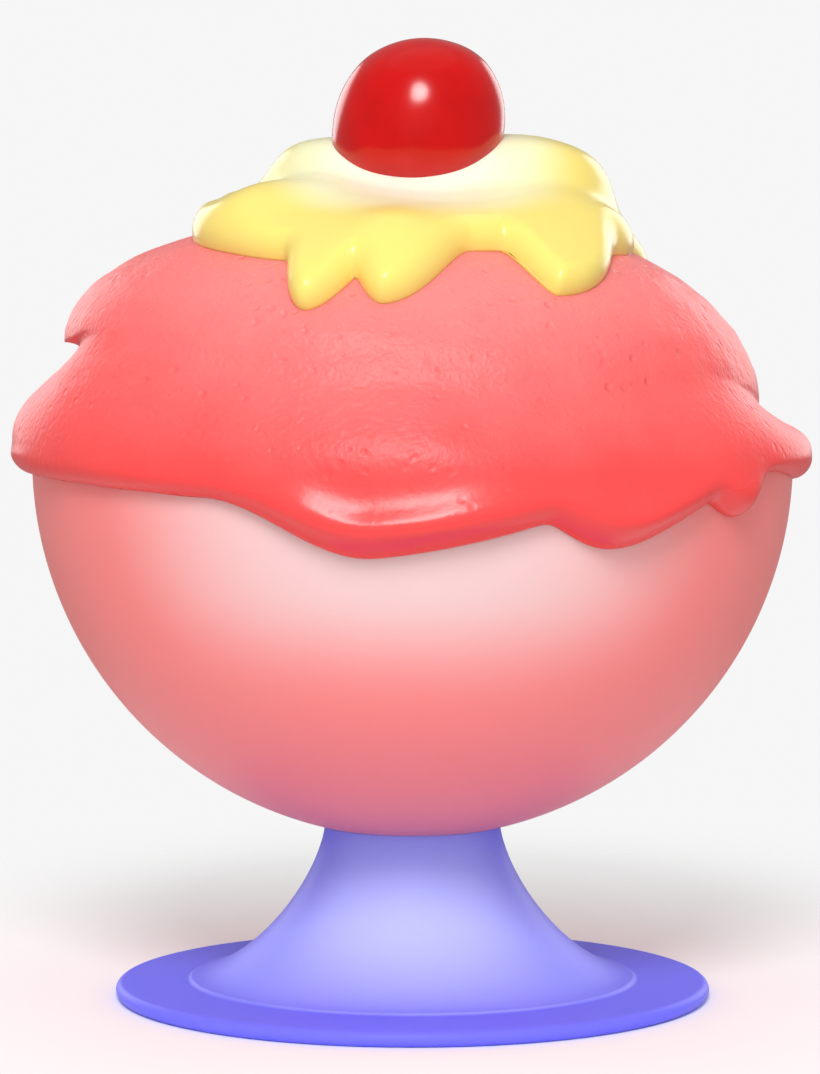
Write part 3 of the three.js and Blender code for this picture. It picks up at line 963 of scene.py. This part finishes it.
# In metres and watts.
FLOOR_RADIUS = 0.2
FLOOR_SIDES = 96
FADE_FROM = 0.05
LIGHT_TARGET = (0, 0, 0.075)
SOFTBOXES = [  # name, place, width, power, whether glossy surfaces reflect it
    ("key_light", (-0.07, -1.0, 0.9), 0.42, 10, True),
    ("front_fill", (0, -1.9, 0.5), 2.0, 10.5, False),
    ("top_light", (0, 0.1, 1.3), 1.4, 0.8, True),
    ("left_back_light", (-0.49, 0.85, 0.3), 0.5, 1.4, True),
    ("right_back_light", (0.49, 0.85, 0.3), 0.5, 1.4, True),
]
CAMERA_PLACE = (-0.00036, -0.6, 0.106)
CAMERA_TARGET = (-0.00036, 0, 0.0657)
LENS_MM = 141.3
SENSOR_MM = 36

PAPER = "F6F6F6"
PAPER_WHITE = 0.922  # the same, as a brightness
ROOM_LIGHT = 0.55
ROOM_GLOSS = 0.3  # how bright the room is where it is reflected


def matt_paper():
    """Matt paper, milled without a coating, so it is plain and has no gloss.

    Its far edge fades into the room, so that no horizon shows.
    """
    made, tree, coordinates = material("matt_paper")
    flat = add(tree, "ShaderNodeVectorMath", {0: coordinates}, operation="LENGTH")
    fade = add(
        tree, "ShaderNodeMapRange",
        {"Value": flat.outputs["Value"], "From Min": FADE_FROM, "From Max": FLOOR_RADIUS},
        interpolation_type="SMOOTHSTEP",
    )
    paper = add(tree, "ShaderNodeBsdfDiffuse", {"Color": colour(PAPER)})
    clear = add(tree, "ShaderNodeBsdfTransparent")
    surface = add(
        tree, "ShaderNodeMixShader",
        {0: fade.outputs[0], 1: paper.outputs[0], 2: clear.outputs[0]},
    )
    add(tree, "ShaderNodeOutputMaterial", {"Surface": surface.outputs[0]})
    return made


def paper_floor():
    """A round sheet of paper, flat under the foot."""
    points = [(0, 0, 0)]
    for k in range(FLOOR_SIDES):
        turn = 2 * math.pi * k / FLOOR_SIDES
        points.append((FLOOR_RADIUS * math.cos(turn), FLOOR_RADIUS * math.sin(turn), 0))
    faces = [(0, 1 + k, 1 + (k + 1) % FLOOR_SIDES) for k in range(FLOOR_SIDES)]
    mesh = bpy.data.meshes.new("paper_floor")
    mesh.from_pydata(points, [], faces)
    mesh.materials.append(matt_paper())
    floor = bpy.data.objects.new("paper_floor", mesh)
    bpy.context.collection.objects.link(floor)


def put(name, data, location, target):
    """Puts a light or a camera in its place, facing the target."""
    made = bpy.data.objects.new(name, data)
    bpy.context.collection.objects.link(made)
    made.location = location
    made.rotation_euler = (Vector(target) - made.location).to_track_quat("-Z", "Y").to_euler()
    return made


def softbox(name, location, width, power, reflected):
    """A soft round light that faces the sundae."""
    data = bpy.data.lights.new(name, "AREA")
    data.shape = "DISK"
    data.size = width
    data.energy = power
    light = put(name, data, location, LIGHT_TARGET)
    light.visible_camera = False
    light.visible_glossy = reflected


def room():
    """A paper-white backdrop in a room that gives a soft, even light."""
    world = bpy.data.worlds.new("studio")
    world.use_nodes = True
    tree = world.node_tree
    tree.nodes.clear()
    path = add(tree, "ShaderNodeLightPath")
    off_camera = add(
        tree, "ShaderNodeMapRange",
        {"Value": path.outputs["Is Glossy Ray"], "To Min": ROOM_LIGHT, "To Max": ROOM_GLOSS},
    )
    level = add(
        tree, "ShaderNodeMapRange",
        {
            "Value": path.outputs["Is Camera Ray"],
            "To Min": off_camera.outputs[0],
            "To Max": PAPER_WHITE,
        },
    )
    light = add(
        tree, "ShaderNodeBackground",
        {"Color": (1, 1, 1, 1), "Strength": level.outputs[0]},
    )
    add(tree, "ShaderNodeOutputWorld", {"Surface": light.outputs[0]})
    bpy.context.scene.world = world


def camera():
    """A long lens a little above the rim of the glass."""
    data = bpy.data.cameras.new("camera")
    data.lens = LENS_MM
    data.sensor_width = SENSOR_MM
    bpy.context.scene.camera = put("camera", data, CAMERA_PLACE, CAMERA_TARGET)


paper_floor()
for light in SOFTBOXES:
    softbox(*light)
room()
camera()
bpy.context.scene.view_settings.view_transform = "Standard"
